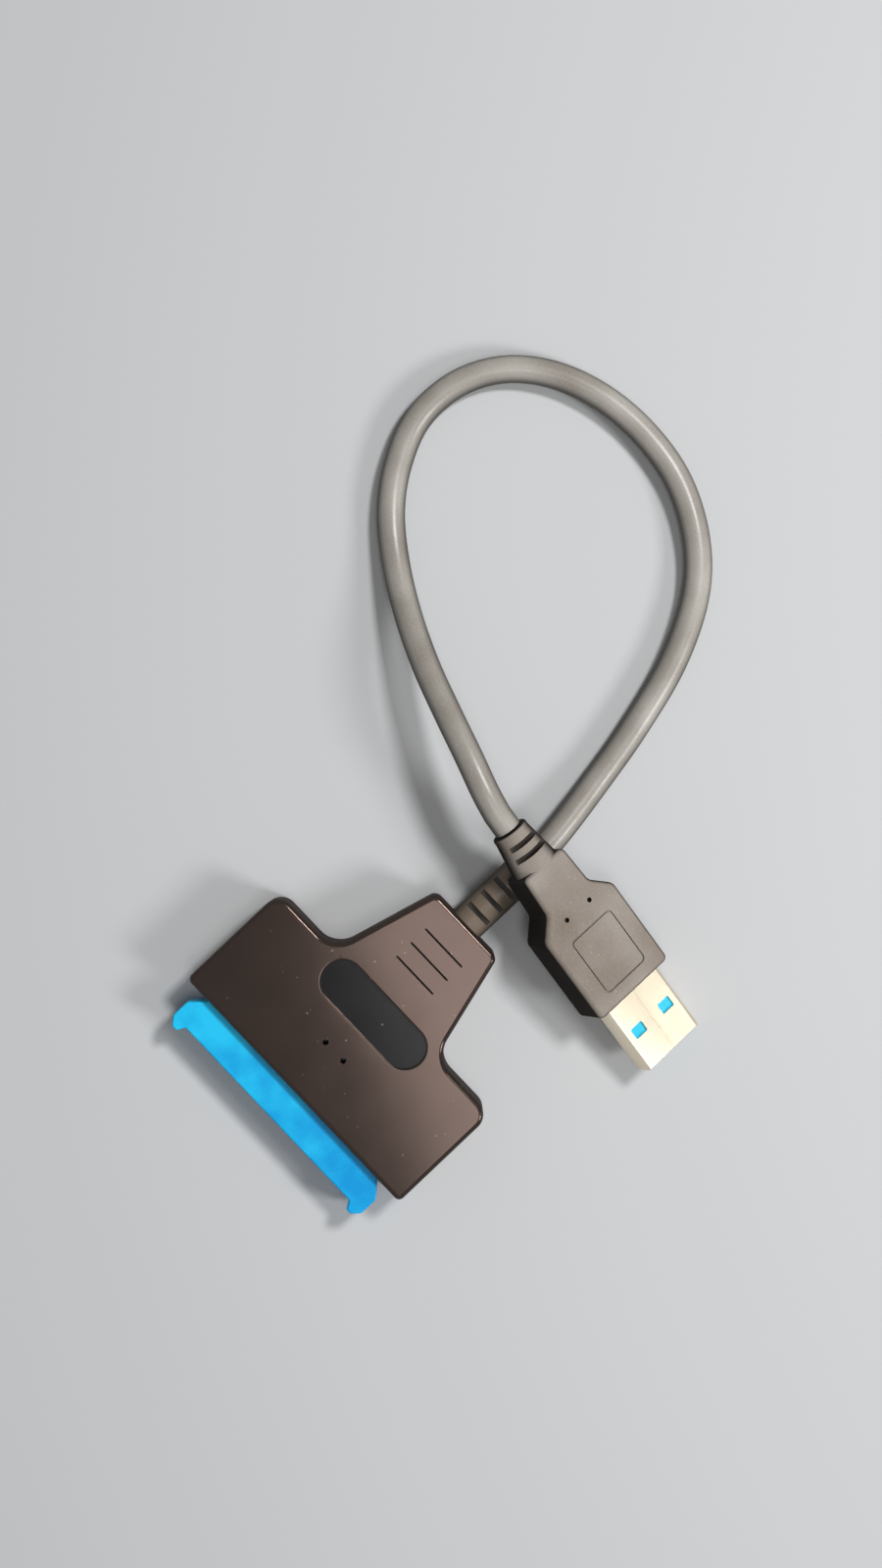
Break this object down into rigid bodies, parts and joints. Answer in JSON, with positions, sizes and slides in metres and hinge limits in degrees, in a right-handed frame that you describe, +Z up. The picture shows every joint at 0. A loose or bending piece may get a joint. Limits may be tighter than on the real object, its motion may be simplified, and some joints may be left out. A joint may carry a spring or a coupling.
{
  "type": "usb to sata adapter",
  "caption": "Flat T-shaped drive adapter: a keyed drive receptacle with guide ears, a short looped cord and a moulded USB plug.",
  "frame": {"origin": "under the middle of the housing and its drive receptacle, on the surface the adapter lies on", "axes": "+X along the drive receptacle, -Y out of its mouth, +Y the way the cord leaves the housing, +Z up from the surface"},
  "size_m": [0.1079, 0.127, 0.0173],
  "materials": {
    "cover_plastic": "satin brown-grey moulding",
    "receptacle_blue": "satin bright blue moulding",
    "boot_plastic": "fine grained warm grey overmould",
    "cord_jacket": "satin grey jacket",
    "white_plastic": "plain",
    "package_black": "plain",
    "board_green": "coated board",
    "ceramic_tan": "plain",
    "led_clear": "clear lens",
    "shell_nickel": "bright nickel",
    "contact_gold": "thin gold flash",
    "wire_red": "plain insulation",
    "wire_black": "plain insulation",
    "wire_white": "plain insulation",
    "wire_green": "plain insulation",
    "wire_blue": "plain insulation",
    "wire_yellow": "plain insulation",
    "wire_purple": "plain insulation",
    "wire_orange": "plain insulation"
  },
  "bodies": {
    "root": {"top_cover": "cover_plastic", "bottom_cover": "cover_plastic", "sata_receptacle": "receptacle_blue", "signal_contact_1": "contact_gold", "signal_contact_2": "contact_gold", "signal_contact_3": "contact_gold", "signal_contact_4": "contact_gold", "signal_contact_5": "contact_gold", "signal_contact_6": "contact_gold", "signal_contact_7": "contact_gold", "power_contact_1": "contact_gold", "power_contact_2": "contact_gold", "power_contact_3": "contact_gold", "power_contact_4": "contact_gold", "power_contact_5": "contact_gold", "power_contact_6": "contact_gold", "power_contact_7": "contact_gold", "power_contact_8": "contact_gold", "power_contact_9": "contact_gold", "power_contact_10": "contact_gold", "power_contact_11": "contact_gold", "power_contact_12": "contact_gold", "power_contact_13": "contact_gold", "power_contact_14": "contact_gold", "power_contact_15": "contact_gold", "circuit_board": "board_green", "bridge_chip": "package_black", "crystal": "shell_nickel", "regulator": "package_black", "capacitor": "ceramic_tan", "inductor": "package_black", "led_left": "led_clear", "led_right": "led_clear", "strain_relief": "boot_plastic", "cable_tail": "cord_jacket", "wire_1": "wire_red", "wire_2": "wire_black", "wire_3": "wire_white", "wire_4": "wire_green", "wire_5": "wire_blue", "wire_6": "wire_yellow", "wire_7": "wire_purple", "wire_8": "wire_orange", "cord": "cord_jacket", "usb_boot": "boot_plastic", "usb_shell": "shell_nickel", "usb_tongue": "receptacle_blue", "usb2_contact_1": "contact_gold", "usb2_contact_2": "contact_gold", "usb2_contact_3": "contact_gold", "usb2_contact_4": "contact_gold", "usb3_contact_1": "contact_gold", "usb3_contact_2": "contact_gold", "usb3_contact_3": "contact_gold", "usb3_contact_4": "contact_gold", "usb3_contact_5": "contact_gold", "usb_inner_mould": "white_plastic"}
  },
  "joints": []
}
